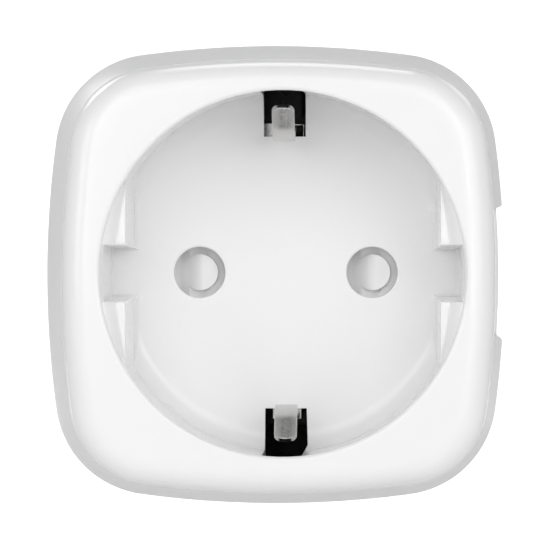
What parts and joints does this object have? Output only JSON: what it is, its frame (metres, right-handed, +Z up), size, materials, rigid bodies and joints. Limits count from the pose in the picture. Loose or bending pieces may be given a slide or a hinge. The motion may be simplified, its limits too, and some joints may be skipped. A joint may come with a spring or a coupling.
{
  "type": "plug-in power meter",
  "caption": "Rounded-square plug-in power meter with a recessed earthed socket in front, a side push button and a round earthed mains plug behind.",
  "frame": {"origin": "centre of the plug boss's end face, on the common axis of plug and socket", "axes": "+Y out of the plug, along its pins, towards the wall; +X right and +Z up seen from the socket face, which looks along -Y"},
  "size_m": [0.0503, 0.0785, 0.0505],
  "materials": {
    "cover_white": "gloss",
    "housing_white": "satin",
    "shutter_white": "satin",
    "button_white": "satin",
    "light_pipe": "clear",
    "nickel_plate": "bright nickel plate",
    "contact_bronze": "bright",
    "copper_strip": "bare copper",
    "dark_moulding": "matte",
    "natural_moulding": "matte",
    "board_green": "solder mask",
    "shield_tin": "tin plate",
    "relay_blue": "gloss",
    "coil_copper": "enamelled winding",
    "soft_iron": "zinc plated iron",
    "capacitor_sleeve": "shrink sleeve",
    "film_yellow": "gloss",
    "varistor_blue": "epoxy coat",
    "ferrite": "sleeved choke",
    "resistor_body": "cement coat",
    "chip_black": "moulded epoxy",
    "steel_screw": "zinc plated",
    "spring_steel": "bright spring wire",
    "led_body": "clear resin"
  },
  "bodies": {
    "root": {"front_cover": "cover_white", "rear_housing": "housing_white", "shutter_retainer": "natural_moulding", "contact_carrier": "natural_moulding", "live_socket_contact": "contact_bronze", "neutral_socket_contact": "contact_bronze", "earth_strap": "nickel_plate", "earth_riser": "nickel_plate", "plug_earth_bar": "nickel_plate", "plug_earth_contact_top": "nickel_plate", "plug_earth_contact_bottom": "nickel_plate", "earth_pin_sleeve": "contact_bronze", "live_pin": "nickel_plate", "neutral_pin": "nickel_plate", "pin_carrier": "dark_moulding", "live_link": "copper_strip", "neutral_link": "copper_strip", "main_board": "board_green", "control_board": "board_green", "radio_shield": "shield_tin", "tact_switch_body": "dark_moulding", "status_led": "led_body", "relay_base": "relay_blue", "relay_coil": "coil_copper", "relay_yoke": "soft_iron", "relay_fixed_contact": "contact_bronze", "relay_cover": "relay_blue", "electrolytic_capacitors": "capacitor_sleeve", "x_capacitor": "film_yellow", "varistor": "varistor_blue", "choke": "ferrite", "fuse_resistor": "resistor_body", "metering_chip": "chip_black", "current_shunt": "copper_strip", "bridge_rectifier": "chip_black", "housing_screws": "steel_screw", "board_screws": "steel_screw", "shutter_spring": "spring_steel"},
    "button": {"side_button": "button_white", "button_light_pipe": "light_pipe"},
    "tact_plunger": {"tact_plunger": "dark_moulding"},
    "shutter": {"shutter": "shutter_white"},
    "clip_top": {"earth_clip_top": "nickel_plate"},
    "clip_bottom": {"earth_clip_bottom": "nickel_plate"},
    "armature": {"relay_armature": "soft_iron", "relay_moving_contact": "contact_bronze"}
  },
  "joints": [
    {"name": "button_press", "type": "slide", "parent": "root", "child": "button", "axis": [-1, 0, 0], "range_m": [0, 0.0004], "stiffness_N_per_m": 1500, "springref_m": -0.0001},
    {"name": "plunger_press", "type": "slide", "parent": "root", "child": "tact_plunger", "axis": [-1, 0, 0], "range_m": [0, 0.0004]},
    {"name": "shutter_slide", "type": "slide", "parent": "root", "child": "shutter", "axis": [1, 0, 0], "range_m": [0, 0.0056], "stiffness_N_per_m": 120, "springref_m": -0.001, "deforming": ["shutter_spring"]},
    {"name": "clip_top_flex", "type": "hinge", "parent": "root", "child": "clip_top", "pos_m": [0, -0.0354, 0.0159], "axis": [-1, 0, 0], "range_deg": [0, 6], "stiffness_Nm_per_rad": 0.5},
    {"name": "clip_bottom_flex", "type": "hinge", "parent": "root", "child": "clip_bottom", "pos_m": [0, -0.0354, -0.0159], "axis": [1, 0, 0], "range_deg": [0, 6], "stiffness_Nm_per_rad": 0.5},
    {"name": "armature_tilt", "type": "hinge", "parent": "root", "child": "armature", "pos_m": [-0.0097, -0.0347, 0.0126], "axis": [0, 0, -1], "range_deg": [0, 3], "stiffness_Nm_per_rad": 0.05, "springref_deg": -2.86}
  ],
  "couplings": [
    {"joint": "plunger_press", "follows": "button_press", "ratio": 1}
  ]
}
